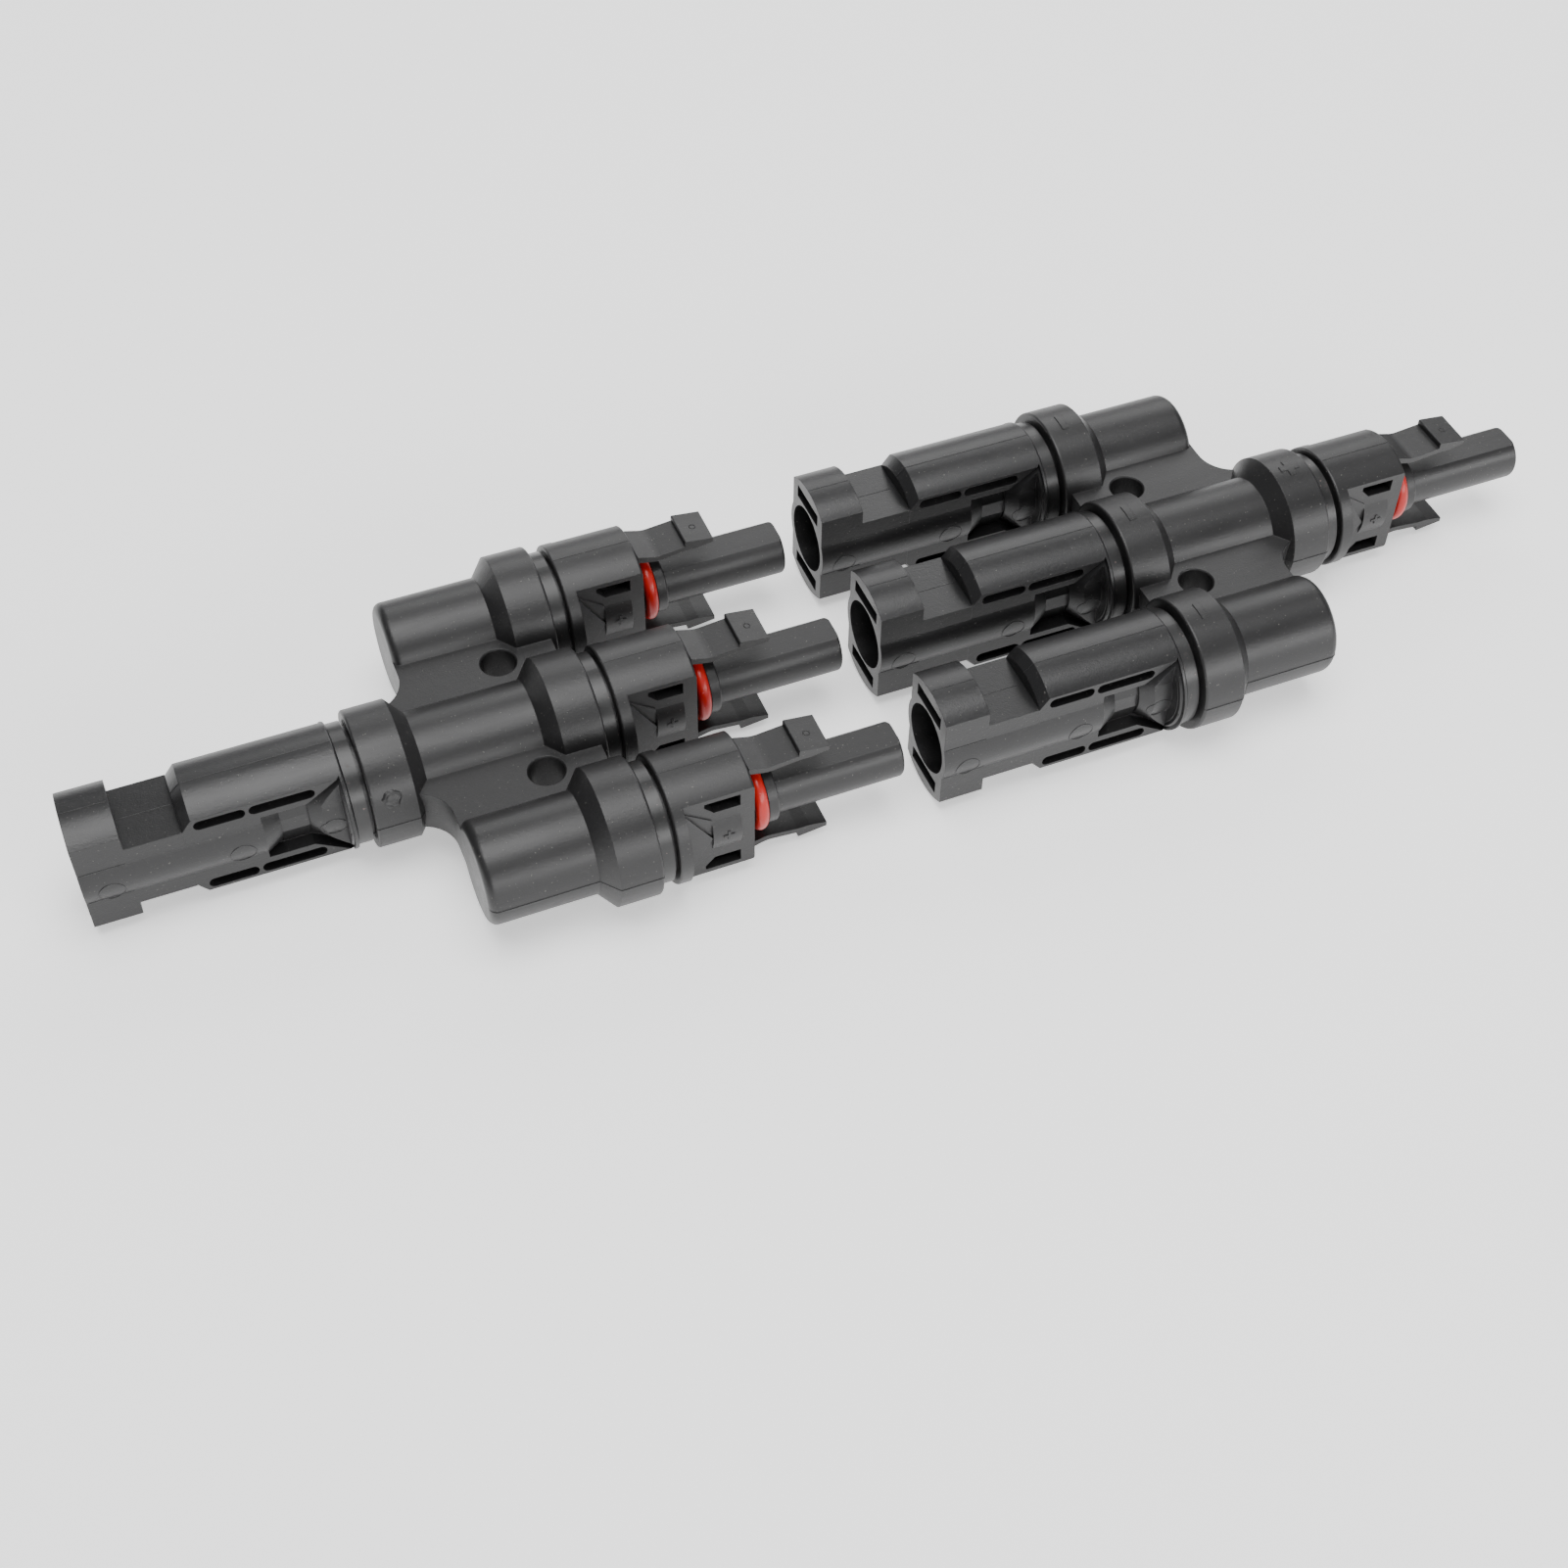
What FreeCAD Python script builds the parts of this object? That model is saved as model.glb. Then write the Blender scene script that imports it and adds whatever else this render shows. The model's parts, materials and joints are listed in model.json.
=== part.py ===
import FreeCAD, Part
import math
import os

# A matched pair of three-way parallel branch connectors for solar cable.
# Half A has three probe ends on its branches and one shell end on its trunk; half B is the reverse.
# The three probes of half A face the three shells of half B, and half B slides on to them along X.
# Frame: +X runs from the mouth of half A to the nose of half B, and +Z is up. The origin is under the
# middle of the pair, on the surface that the collars rest on. All sizes are in millimetres.

os.makedirs("parts", exist_ok=True)

# ---- cutting and testing ----
CUT_SPARE = 1.0             # how far a cut runs past the face it opens
JOIN = 1.0                  # how far the pieces of one solid run into each other
SAME_PLACE = 1e-6
BIG = 100.0

# ---- the pair ----
MATING_GAP = 5.1            # between the nose tips of half A and the mouths of half B, at rest

# ---- T-shaped body ----
BRANCH_PITCH = 22.5
BARREL_R = 7.5
COLLAR_R = 10.1
COLLAR_LENGTH = 6.3
CONE_LENGTH = 2.2
TRUNK_LENGTH = 17.2         # plain trunk, from one cone to the other
BRANCH_LENGTH = 15.5        # plain outer barrel, from its closed end to its cone
CLOSED_END_ROUND = 1.3
WEB_THICKNESS = 7.0
WEB_CORNER_R = 5.5
WEB_CORNER_CLEAR = 1.0      # from the side of the trunk to the nearest point of the corner's sweep
WEB_STRIP_INSET = 1.0
BODY_WALL = 1.6
SEAM_FLASH_PROUD = 0.08
SEAM_FLASH_THICKNESS = 0.12
COLLAR_EDGE_ROUND = 0.4
SCREW_HOLE_D = 5.2
SCREW_HOLE_SETBACK = 1.2    # from the cone's foot
SCREW_HOLE_EDGE = 0.2
POLARITY_MARK_LENGTH = 3.2
POLARITY_MARK_WIDTH = 1.1
POLARITY_MARK_PROUD = 0.12

# ---- busbar ----
BUSBAR_WIDTH = 6.0
BUSBAR_THICKNESS = 2.0
BUSBAR_ROD_R = 2.4
BUSBAR_CLEARANCE = 0.4
BUSBAR_ROD_SETBACK = 1.0    # between the end of a rod and the floor of its crimp barrel

# ---- contacts, from the pin outwards ----
PIN_R = 2.0
PIN_SETBACK = 12.0          # the pin's tip behind the mouth
PIN_TIP_ROUND = 1.0
SOCKET_CLEARANCE = 0.05
SOCKET_WALL = 0.45
SOCKET_DEPTH = 16.0
SPRING_THICKNESS = 0.35
SPRING_LENGTH = 8.0
SPRING_SETBACK = 4.0
CONTACT_CLEARANCE = 0.05
CRIMP_STEP = 0.35           # the crimp barrel's radius over the shank's
CRIMP_LENGTH = 8.0
CRIMP_FLOOR = 1.0
CRIMP_CLEARANCE = 0.05
CLIP_WIDTH = 0.9
CLIP_MOUTH = 70.0           # degrees left open
CLIP_GROOVE_DEPTH = 0.35
CLIP_CLEARANCE = 0.2        # round the outside of the clip

# ---- spigots and sealing rings, the same on all eight ends ----
SPIGOT_R = 7.9
SPIGOT_CLEARANCE = 0.1
SPIGOT_LENGTH = 5.6         # inside the collar
RING_WALL = 0.9
RING_LENGTH = 2.0
RING_CLEARANCE = 0.05
SEAM_GAP = 0.5
FLANGE_LENGTH = 1.9

# ---- probe end: sleeve, nose and latch fingers ----
SLEEVE_R = 9.55
SLEEVE_LENGTH = 12.4        # from the rear of the flange to the face
SLEEVE_HALF_WIDTH = 5.6
SLEEVE_WALL = 1.3
SLEEVE_EDGE_ROUND = 0.35
FACE_WALL = 1.6
CAVITY_SETBACK = 1.0        # from the flange to the hollow above the inner tube
PROBE_TUBE_WALL = 0.7
PAD_LENGTH = 4.3
PAD_HALF_HEIGHT = 3.4
PAD_PROUD = 0.75
ARROW_HALF_HEIGHT = 6.45
ARROW_PROUD = 0.55
WING_PROUD = 0.18
RELIEF_ROOT = 1.0           # how deep the pad and the arrow are rooted in the flat
SIDE_WINDOW_LENGTH = 5.3
SIDE_WINDOW_HEIGHT = 2.2
SIDE_WINDOW_Z = 5.9
SIDE_WINDOW_SETBACK = 2.1
SIDE_WINDOW_SLANT = 1.4     # of its rear end
SIDE_WINDOW_REAR = 0.73     # height of the upright part of its rear end
NOSE_WALL = 1.15
NOSE_LENGTH = 23.7
NOSE_FLAT_WALL = 0.45       # left by the flats on the top and underside of the nose
NOSE_TIP_ROUND = 0.5
NOSE_LIP = 1.5
NOSE_STEP_RISE = 0.85
NOSE_STEP_LENGTH = 1.6
FINGER_HALF_WIDTH = 3.15
FINGER_THICKNESS = 1.1
FINGER_ROOT_RISE = 2.9      # the top of the finger over the latch floor, where it leaves the face
FINGER_DIP_X = 2.9
FINGER_DIP_RISE = 2.05
FINGER_DIP_THICKNESS = 0.9  # the finger is thinner than its root where it passes over the O-ring
FINGER_DIP_ROUND = 4.0      # the bend in the finger where it turns up towards the barb
BARB_X = 7.6
BARB_FOOT_RISE = 2.55
BARB_FOOT_THICKNESS = 0.85
BARB_RISE = 3.5
BARB_KINK_X = 9.5           # where the underside turns up to the tip
BARB_TIP_X = 12.1
BARB_TIP_RISE = 2.9
BARB_TIP_THICKNESS = 0.75
BARB_CREST_ROUND = 0.2
HINGE_GAP = 0.12            # the thinned root that the finger bends at
ORING_SECTION_D = 2.0
ORING_CLEARANCE = 0.05
ORING_X = 1.55
ORING_SEAT_WALL = 0.7

# ---- shell end: mouth block, latch windows and barrel ----
MOUTH_LENGTH = 6.8
MOUTH_R = 9.84
MOUTH_HALF_WIDTH = 5.65
MOUTH_BORE_CLEARANCE = 0.4  # round the step on the nose
TUBE_WALL = 1.05
LATCH_SLOT_CLEARANCE = 0.75 # on each side of the finger
LATCH_FLOOR_WALL = 0.4      # under the flat floor of the latch slots
STRAP_RISE = 2.2            # the underside of the strap that holds the barb, over the latch floor
BARREL_START = 14.8
BARREL_CHAMFER = 1.4
SHELL_R = 9.32
SHELL_HALF_WIDTH = 5.6
SHELL_WALL = 1.2
SHELL_LENGTH = 37.5         # from the mouth to the rear of its flange
SHELL_FLANGE_LENGTH = 0.95
SHELL_SLOT_Z = 6.15
SHELL_SLOT_HEIGHT = 1.7
SHELL_SLOTS = ((16.4, 23.5), (24.0, 33.2))
WAIST_START = 25.3
WAIST_FLAT = (27.8, 31.8)
WAIST_HALF_WIDTH = 4.5
WAIST_FACET_Z = 1.2         # where the side facet of the waist turns inwards
WAIST_TOP_HALF_WIDTH = 3.4  # of the waist at the roof of the pocket
WAIST_R = 5.0
WAIST_POCKET_Z = 4.3        # roof of the pocket round the waist
WAIST_POCKET_RISE = 3.4     # how far its roof rises to the rear end of the flare
FLARE_R = 8.7
FLARE_SETBACK = 0.63        # from the end of the flare to the rear of the flange
CORE_OUT_END = 31.5
BORE_SPARE = 0.9            # between a mated nose and the bottom of the bore

# ---- worked out from the sizes above ----
AXIS_Z = COLLAR_R
CONE_FOOT = SCREW_HOLE_SETBACK
COLLAR_REAR = CONE_FOOT + CONE_LENGTH
COLLAR_FRONT = COLLAR_REAR + COLLAR_LENGTH
TRUNK_FOOT = CONE_FOOT - TRUNK_LENGTH
TRUNK_COLLAR_REAR = TRUNK_FOOT - CONE_LENGTH
TRUNK_COLLAR_FRONT = TRUNK_COLLAR_REAR - COLLAR_LENGTH
CLOSED_END = CONE_FOOT - BRANCH_LENGTH
PROBE_STANDOFF = RING_LENGTH + SEAM_GAP + SLEEVE_LENGTH
SHELL_STANDOFF = SHELL_LENGTH + RING_LENGTH + SEAM_GAP
HALF_LENGTH = (COLLAR_FRONT - TRUNK_COLLAR_FRONT) + PROBE_STANDOFF + NOSE_LENGTH + SHELL_STANDOFF
PAIR_LENGTH = 2 * HALF_LENGTH + MATING_GAP
BRANCHES = {"back": BRANCH_PITCH, "middle": 0.0, "front": -BRANCH_PITCH}
RING_R = SPIGOT_R + RING_WALL
BORE_DEPTH = NOSE_LENGTH + BORE_SPARE

# From the pin outwards: contact, nose, mating bore and latch.
SOCKET_R = PIN_R + SOCKET_CLEARANCE + SPRING_THICKNESS + SOCKET_WALL
CONTACT_BORE_R = SOCKET_R + CONTACT_CLEARANCE
CLIP_BORE_R = CONTACT_BORE_R + CLIP_GROOVE_DEPTH + CLIP_CLEARANCE
CRIMP_R = SOCKET_R + CRIMP_STEP
CRIMP_BORE_R = BUSBAR_ROD_R + CRIMP_CLEARANCE
PROBE_TUBE_R = CRIMP_R + CONTACT_CLEARANCE + PROBE_TUBE_WALL
NOSE_R = CONTACT_BORE_R + NOSE_WALL
NOSE_FLAT_Z = CONTACT_BORE_R + NOSE_FLAT_WALL
NOSE_STEP_R = NOSE_R + NOSE_STEP_RISE
ORING_SEAT_R = CONTACT_BORE_R + ORING_SEAT_WALL
MOUTH_BORE_R = NOSE_STEP_R + MOUTH_BORE_CLEARANCE
TUBE_R = MOUTH_BORE_R + TUBE_WALL
LATCH_FLOOR_Z = MOUTH_BORE_R + LATCH_FLOOR_WALL
STRAP_Z = LATCH_FLOOR_Z + STRAP_RISE
FINGER_ROOT_Z = LATCH_FLOOR_Z + FINGER_ROOT_RISE
FINGER_DIP_Z = LATCH_FLOOR_Z + FINGER_DIP_RISE
BARB_FOOT_Z = LATCH_FLOOR_Z + BARB_FOOT_RISE
BARB_Z = LATCH_FLOOR_Z + BARB_RISE
BARB_TIP_Z = LATCH_FLOOR_Z + BARB_TIP_RISE

# Each half is drawn about the middle of its line of screw holes, and then set down here.
HALF_A_X = -PAIR_LENGTH / 2 + SHELL_STANDOFF - TRUNK_COLLAR_FRONT
HALF_B_X = PAIR_LENGTH / 2 - NOSE_LENGTH - PROBE_STANDOFF + TRUNK_COLLAR_FRONT


def cylinder(radius, x0, x1, y=0.0):
    """A round bar along X."""
    return Part.makeCylinder(radius, x1 - x0, FreeCAD.Vector(x0, y, 0), FreeCAD.Vector(1, 0, 0))


def cone(r0, r1, x0, x1, y=0.0):
    """A cone along X, of radius r0 at x0 and r1 at x1."""
    return Part.makeCone(r0, r1, x1 - x0, FreeCAD.Vector(x0, y, 0), FreeCAD.Vector(1, 0, 0))


def pipe(r_out, r_in, x0, x1):
    return cylinder(r_out, x0, x1).cut(cylinder(r_in, x0 - CUT_SPARE, x1 + CUT_SPARE))


def block(x0, x1, y0, y1, z0, z1):
    return Part.makeBox(x1 - x0, y1 - y0, z1 - z0, FreeCAD.Vector(x0, y0, z0))


def flats(x0, x1, half_width, half_height=BIG):
    """A block about the X axis, to clip or cut flats with."""
    return block(x0, x1, -half_width, half_width, -half_height, half_height)


def side_prism(points, y0, y1):
    """A prism along Y from an outline in X and Z."""
    wire = Part.makePolygon([FreeCAD.Vector(x, y0, z) for x, z in points + [points[0]]])
    return Part.Face(wire).extrude(FreeCAD.Vector(0, y1 - y0, 0))


def round_edges(shape, radius, chosen):
    """Round every edge for which chosen(edge) is true."""
    return shape.makeFillet(radius, [edge for edge in shape.Edges if chosen(edge)])


def ring_edge_at(x):
    """Picks the edges that lie wholly in the plane X = x."""
    return lambda edge: max(abs(edge.BoundBox.XMin - x), abs(edge.BoundBox.XMax - x)) < SAME_PLACE


def union(shapes):
    return shapes[0].fuse(shapes[1:]).removeSplitter()


def both_ways(shape, normal):
    """The shape together with its mirror image through the X axis."""
    return shape.fuse(shape.mirror(FreeCAD.Vector(0, 0, 0), normal))


UP = FreeCAD.Vector(0, 0, 1)
SIDEWAYS = FreeCAD.Vector(0, 1, 0)
ALONG = FreeCAD.Vector(1, 0, 0)


# ---- the T-shaped body, drawn with its branches towards +X ----

def collar(x_cone, x_rear, x_front, y, grow):
    """The cone and the wider collar at the end of a barrel, in either direction along X."""
    ahead = x_front > x_rear
    r_foot = BARREL_R + grow
    r_collar = COLLAR_R + grow
    if ahead:
        taper = cone(r_foot, r_collar, x_cone, x_rear, y)
        wide = cylinder(r_collar, x_rear, x_front, y)
    else:
        taper = cone(r_collar, r_foot, x_rear, x_cone, y)
        wide = cylinder(r_collar, x_front, x_rear, y)
    wide = round_edges(wide, COLLAR_EDGE_ROUND, ring_edge_at(x_front))
    return [taper, wide]


def web():
    """The flat web between the barrels, its strips between the collars and its swept-in corners."""
    z_half = WEB_THICKNESS / 2
    plate = block(CLOSED_END + CLOSED_END_ROUND, COLLAR_FRONT - WEB_STRIP_INSET,
                  -BRANCH_PITCH, BRANCH_PITCH, -z_half, z_half)
    corner = block(CLOSED_END - WEB_CORNER_R, CLOSED_END + CLOSED_END_ROUND, 0,
                   BRANCH_PITCH - BARREL_R / 2, -z_half, z_half)
    sweep_y = BARREL_R + WEB_CORNER_CLEAR + WEB_CORNER_R
    sweep = Part.makeCylinder(WEB_CORNER_R, WEB_THICKNESS,
                              FreeCAD.Vector(CLOSED_END - WEB_CORNER_R, sweep_y, -z_half), UP)
    beyond = block(CLOSED_END - 2 * WEB_CORNER_R, CLOSED_END, sweep_y, BRANCH_PITCH + BARREL_R,
                   -z_half, z_half)
    corner = corner.cut(sweep).cut(beyond)
    return [plate, both_ways(corner, SIDEWAYS)]


def body_outline(grow):
    """The outside of the body; grow makes the thin flash at the moulding seam."""
    pieces = [cylinder(BARREL_R + grow, TRUNK_FOOT, CONE_FOOT)]
    pieces += collar(TRUNK_FOOT, TRUNK_COLLAR_REAR, TRUNK_COLLAR_FRONT, 0.0, grow)
    for y in BRANCHES.values():
        pieces += collar(CONE_FOOT, COLLAR_REAR, COLLAR_FRONT, y, grow)
        if y:
            barrel = cylinder(BARREL_R + grow, CLOSED_END, CONE_FOOT, y)
            pieces.append(round_edges(barrel, CLOSED_END_ROUND, ring_edge_at(CLOSED_END)))
    return union(pieces + web())


def body_hollow():
    """The sockets in the collars, the bores behind them and the channel for the busbar."""
    bore_r = BARREL_R - BODY_WALL
    socket_r = SPIGOT_R + SPIGOT_CLEARANCE
    socket_depth = SPIGOT_LENGTH + SPIGOT_CLEARANCE
    trunk_mouth = TRUNK_COLLAR_FRONT - CUT_SPARE
    branch_mouth = COLLAR_FRONT + CUT_SPARE
    hollows = [cylinder(socket_r, trunk_mouth, TRUNK_COLLAR_FRONT + socket_depth),
               cylinder(bore_r, TRUNK_COLLAR_FRONT, COLLAR_FRONT)]
    for y in BRANCHES.values():
        hollows.append(cylinder(socket_r, COLLAR_FRONT - socket_depth, branch_mouth, y))
        if y:
            hollows.append(cylinder(bore_r, CLOSED_END + BODY_WALL, COLLAR_FRONT, y))
    x_bar = busbar_centre_x()
    half = BUSBAR_WIDTH / 2 + BUSBAR_CLEARANCE
    deep = BUSBAR_THICKNESS / 2 + BUSBAR_CLEARANCE
    hollows.append(block(x_bar - half, x_bar + half, -BRANCH_PITCH, BRANCH_PITCH, -deep, deep))
    return hollows


def busbar_centre_x():
    """The cross bar runs midway between the closed ends and the screw holes."""
    return (CLOSED_END + BODY_WALL - SCREW_HOLE_D / 2) / 2


def screw_hole(y):
    radius = SCREW_HOLE_D / 2
    half = WEB_THICKNESS / 2
    hole = Part.makeCylinder(radius, WEB_THICKNESS, FreeCAD.Vector(0, y, -half), UP)
    lead = Part.makeCone(radius, radius + SCREW_HOLE_EDGE, SCREW_HOLE_EDGE,
                         FreeCAD.Vector(0, y, half - SCREW_HOLE_EDGE), UP)
    return hole.fuse(both_ways(lead, UP))


def polarity_mark(sign, y):
    """A raised minus or plus on top of a collar."""
    x_mid = (COLLAR_REAR + COLLAR_FRONT) / 2
    half_l = POLARITY_MARK_LENGTH / 2
    half_w = POLARITY_MARK_WIDTH / 2
    skin = pipe(COLLAR_R + POLARITY_MARK_PROUD, COLLAR_R - POLARITY_MARK_PROUD,
                COLLAR_REAR, COLLAR_FRONT)
    skin.translate(FreeCAD.Vector(0, y, 0))
    bar = block(x_mid - half_w, x_mid + half_w, y - half_l, y + half_l, 0, BIG)
    if sign == "plus":
        bar = bar.fuse(block(x_mid - half_l, x_mid + half_l, y - half_w, y + half_w, 0, BIG))
    return skin.common(bar)


def body_halves(marks):
    """The upper and lower mouldings of one body, welded along the seam at mid-height."""
    hollows = body_hollow() + [screw_hole(s * BRANCH_PITCH / 2) for s in (-1, 1)]
    solid = body_outline(0.0).cut(hollows)
    upper = solid.common(block(-BIG, BIG, -BIG, BIG, 0, BIG))
    lower = solid.common(block(-BIG, BIG, -BIG, BIG, -BIG, 0))
    flash = body_outline(SEAM_FLASH_PROUD).cut(hollows)
    flash = flash.common(block(-BIG, BIG, -BIG, BIG, -SEAM_FLASH_THICKNESS, 0))
    upper = upper.fuse(marks) if marks else upper
    return upper.removeSplitter(), lower.fuse(flash).removeSplitter()


def busbar(trunk_crimp, branch_crimp):
    """A copper comb: the cross bar and four rods that reach into the contacts' crimp barrels."""
    x_bar = busbar_centre_x()
    half = BUSBAR_WIDTH / 2
    bar = block(x_bar - half, x_bar + half, -BRANCH_PITCH, BRANCH_PITCH,
                -BUSBAR_THICKNESS / 2, BUSBAR_THICKNESS / 2)
    pieces = [bar, cylinder(BUSBAR_ROD_R, TRUNK_COLLAR_FRONT + trunk_crimp, x_bar)]
    for y in BRANCHES.values():
        pieces.append(cylinder(BUSBAR_ROD_R, x_bar - half, COLLAR_FRONT - branch_crimp, y))
    return union(pieces)


# ---- probe end, drawn with its face at X = 0 and its nose towards +X ----

def probe_side_cut():
    """What the flats and the stepped rear of the flats take from one side of the sleeve."""
    flange_front = FLANGE_LENGTH - SLEEVE_LENGTH
    return block(flange_front, CUT_SPARE, SLEEVE_HALF_WIDTH, SLEEVE_R + CUT_SPARE, -BIG, BIG)


def probe_side_relief():
    """The pad, and the arrow behind it, that stand out of one flat."""
    x_rear = FLANGE_LENGTH - SLEEVE_LENGTH
    x_front = -SIDE_WINDOW_SETBACK
    x_pad = x_front - PAD_LENGTH
    y_root = SLEEVE_HALF_WIDTH - RELIEF_ROOT
    pad = cylinder(SLEEVE_HALF_WIDTH + PAD_PROUD, x_pad, x_front)
    pad = pad.common(block(x_pad, x_front, 0, BIG, -PAD_HALF_HEIGHT, PAD_HALF_HEIGHT))
    pad = pad.cut(flats(x_pad - CUT_SPARE, x_front + CUT_SPARE, y_root))
    arrow = side_prism([(x_rear, -ARROW_HALF_HEIGHT), (x_pad, 0), (x_rear, ARROW_HALF_HEIGHT)],
                       y_root, SLEEVE_HALF_WIDTH + ARROW_PROUD)
    wings = side_prism([(x_rear, ARROW_HALF_HEIGHT), (x_pad, PAD_HALF_HEIGHT),
                        (x_pad, -PAD_HALF_HEIGHT), (x_rear, -ARROW_HALF_HEIGHT)],
                       y_root, SLEEVE_HALF_WIDTH + WING_PROUD)
    return [pad, arrow, wings]


def side_window():
    """A window through one flat, with a slanted rear end."""
    x0 = -SIDE_WINDOW_SETBACK - SIDE_WINDOW_LENGTH
    x1 = -SIDE_WINDOW_SETBACK
    z0 = SIDE_WINDOW_Z - SIDE_WINDOW_HEIGHT / 2
    z1 = SIDE_WINDOW_Z + SIDE_WINDOW_HEIGHT / 2
    return side_prism([(x0, z1), (x1, z1), (x1, z0), (x0 + SIDE_WINDOW_SLANT, z0),
                       (x0, z1 - SIDE_WINDOW_REAR)], 0, SLEEVE_R + CUT_SPARE)


def probe_cavity():
    """The hollow between the inner tube and the sleeve, above and below the tube."""
    x0 = FLANGE_LENGTH - SLEEVE_LENGTH + CAVITY_SETBACK
    hollow = cylinder(SLEEVE_R - SLEEVE_WALL, x0, -FACE_WALL)
    hollow = hollow.common(flats(x0, -FACE_WALL, SLEEVE_HALF_WIDTH - SLEEVE_WALL))
    bridge = flats(x0 - CUT_SPARE, 0, SLEEVE_HALF_WIDTH, PAD_HALF_HEIGHT)
    return hollow.cut([bridge, cylinder(PROBE_TUBE_R, x0 - CUT_SPARE, 0)])


def nose():
    tip = cylinder(NOSE_R, 0, NOSE_LENGTH)
    tip = round_edges(tip, NOSE_TIP_ROUND, ring_edge_at(NOSE_LENGTH))
    step_end = oring_front_x() + NOSE_STEP_LENGTH
    flat = block(step_end, NOSE_LENGTH + CUT_SPARE, -NOSE_R, NOSE_R, NOSE_FLAT_Z, BIG)
    shaft = tip.cut(both_ways(flat, UP))
    step = cylinder(NOSE_STEP_R, oring_front_x(), step_end)
    return shaft.fuse(round_edges(step, SLEEVE_EDGE_ROUND, ring_edge_at(step_end)))


def oring_front_x():
    """Where the O-ring's seat ends and the step that keeps the ring back begins."""
    return ORING_X + ORING_SECTION_D / 2 + ORING_CLEARANCE


def probe_housing():
    rear = -SLEEVE_LENGTH
    sleeve = cylinder(SLEEVE_R, rear, 0)
    sleeve = round_edges(sleeve, SLEEVE_EDGE_ROUND, ring_edge_at(0.0))
    sleeve = round_edges(sleeve, SLEEVE_EDGE_ROUND, ring_edge_at(rear))
    sleeve = sleeve.cut(both_ways(probe_side_cut(), SIDEWAYS))
    relief = probe_side_relief()
    sleeve = sleeve.fuse([both_ways(piece, SIDEWAYS) for piece in relief])
    sleeve = sleeve.cut(probe_cavity())
    sleeve = sleeve.cut(both_ways(both_ways(side_window(), UP), SIDEWAYS))
    spigot = cylinder(SPIGOT_R, rear - SEAM_GAP - RING_LENGTH - SPIGOT_LENGTH, rear)
    solid = union([sleeve, spigot, nose()])
    seat = pipe(NOSE_STEP_R, ORING_SEAT_R, ORING_X - ORING_SECTION_D / 2, oring_front_x())
    return solid.cut([seat] + probe_bores())


def probe_bores():
    """The bore that takes the socket contact, its clip's groove and the mouth in the nose tip."""
    x_clip = probe_clip_x()
    x_lip = NOSE_LENGTH - NOSE_LIP
    x_end = -PROBE_STANDOFF - SPIGOT_LENGTH - CUT_SPARE
    return [cylinder(CONTACT_BORE_R, x_clip, x_lip),
            cylinder(PIN_R + SPRING_THICKNESS, x_lip - JOIN, NOSE_LENGTH + CUT_SPARE),
            cylinder(CLIP_BORE_R, x_clip - CLIP_WIDTH, x_clip),
            cylinder(CRIMP_R + CONTACT_CLEARANCE, x_end, x_clip)]


def probe_clip_x():
    """Front of the retaining clip, just behind the sleeve's flange."""
    return -SLEEVE_LENGTH + FLANGE_LENGTH


def finger_outline():
    """The latch finger from the side: it dips in front of its root and climbs to the barb."""
    foot_under = BARB_FOOT_Z - BARB_FOOT_THICKNESS
    return [(HINGE_GAP, FINGER_ROOT_Z), (FINGER_DIP_X, FINGER_DIP_Z), (BARB_X, BARB_FOOT_Z),
            (BARB_X, BARB_Z), (BARB_TIP_X, BARB_TIP_Z), (BARB_TIP_X, BARB_TIP_Z - BARB_TIP_THICKNESS),
            (BARB_KINK_X, foot_under), (BARB_X, foot_under),
            (FINGER_DIP_X, FINGER_DIP_Z - FINGER_DIP_THICKNESS),
            (HINGE_GAP, FINGER_ROOT_Z - FINGER_THICKNESS)]


def is_crest(edge):
    """Picks the edge at the top of the barb's steep rear face."""
    box = edge.BoundBox
    return ring_edge_at(BARB_X)(edge) and abs(box.ZMin - BARB_Z) < SAME_PLACE


def latch_finger():
    """The upper finger; its root bends about a line at its underside, on the sleeve's face."""
    blank = side_prism(finger_outline(), -FINGER_HALF_WIDTH, FINGER_HALF_WIDTH)
    blank = round_edges(blank, FINGER_DIP_ROUND, ring_edge_at(FINGER_DIP_X))
    return round_edges(blank, BARB_CREST_ROUND, is_crest)


def o_ring():
    ring_r = ORING_SEAT_R + ORING_CLEARANCE + ORING_SECTION_D / 2
    return Part.makeTorus(ring_r, ORING_SECTION_D / 2, FreeCAD.Vector(ORING_X, 0, 0), ALONG)


def crimp_barrel(x0, x1, open_end):
    """The hollow rear of a contact, open at open_end, which takes a busbar rod."""
    if open_end == x0:
        bore = cylinder(CRIMP_BORE_R, x0 - CUT_SPARE, x1 - CRIMP_FLOOR)
    else:
        bore = cylinder(CRIMP_BORE_R, x0 + CRIMP_FLOOR, x1 + CUT_SPARE)
    return cylinder(CRIMP_R, x0, x1).cut(bore)


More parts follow.
